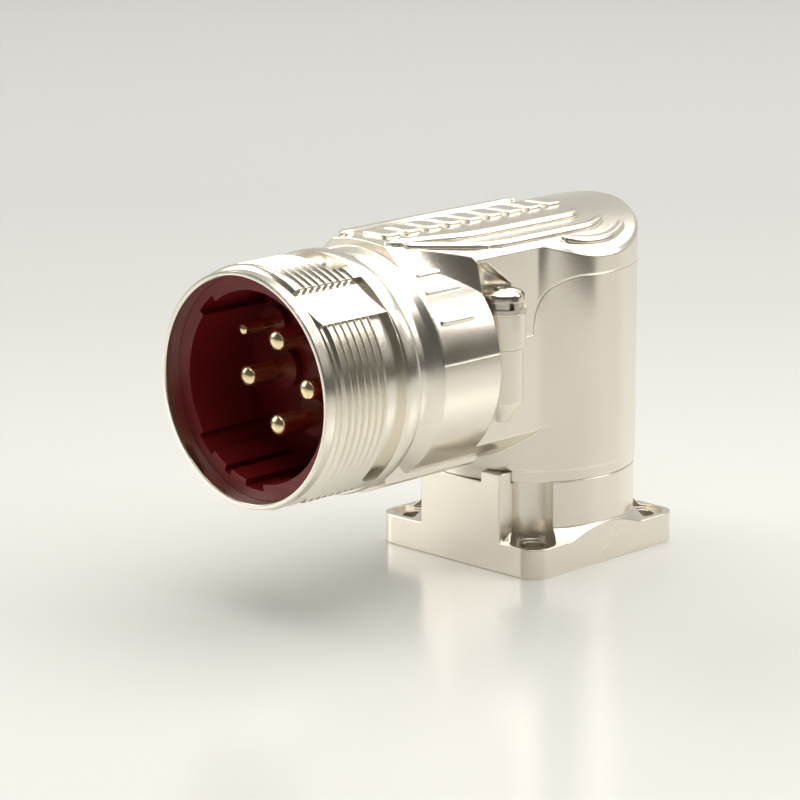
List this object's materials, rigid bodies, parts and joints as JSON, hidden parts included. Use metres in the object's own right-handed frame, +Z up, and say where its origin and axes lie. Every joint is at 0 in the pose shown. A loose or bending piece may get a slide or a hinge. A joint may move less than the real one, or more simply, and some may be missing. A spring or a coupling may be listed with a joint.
{
  "type": "right-angle circular connector",
  "caption": "Right-angle male power connector with a threaded coupling barrel, red pin insert, screwed ribbed cover and a square flange on which it swivels",
  "frame": {"origin": "centre of the square flange's underside, on the swivel axis", "axes": "+Z up along the swivel axis, -Y out of the coupling barrel, +X to the right when looking along +Y into the barrel"},
  "size_m": [0.0406, 0.0859, 0.06],
  "materials": {
    "plated_casting": "satin nickel plate",
    "plated_barrel": "satin nickel plate",
    "red_insert": "moulded, slight gloss",
    "contact_brass": "gold plate",
    "screw_steel": "bright plate",
    "washer_steel": "plain",
    "seal_rubber": "matte"
  },
  "bodies": {
    "flange": {"mounting_flange": "plated_casting"},
    "elbow": {"elbow_housing": "plated_casting", "top_cover": "plated_casting", "threaded_barrel": "plated_barrel", "insert_body": "red_insert", "insert_rear": "red_insert", "cover_screw_right": "screw_steel", "cover_screw_left": "screw_steel", "spring_washer_right": "washer_steel", "spring_washer_left": "washer_steel", "plain_washer_right": "washer_steel", "plain_washer_left": "washer_steel", "insert_retainer": "washer_steel", "swivel_circlip": "washer_steel", "cover_gasket": "seal_rubber", "swivel_seal": "seal_rubber", "power_contact_u": "contact_brass", "power_contact_v": "contact_brass", "power_contact_w": "contact_brass", "power_contact_pe": "contact_brass", "signal_contact_1": "contact_brass", "signal_contact_2": "contact_brass"}
  },
  "joints": [
    {"name": "elbow_swivel", "type": "hinge", "parent": "flange", "child": "elbow", "pos_m": [0, 0, 0], "axis": [0, 0, 1], "range_deg": [-160, 160]}
  ]
}
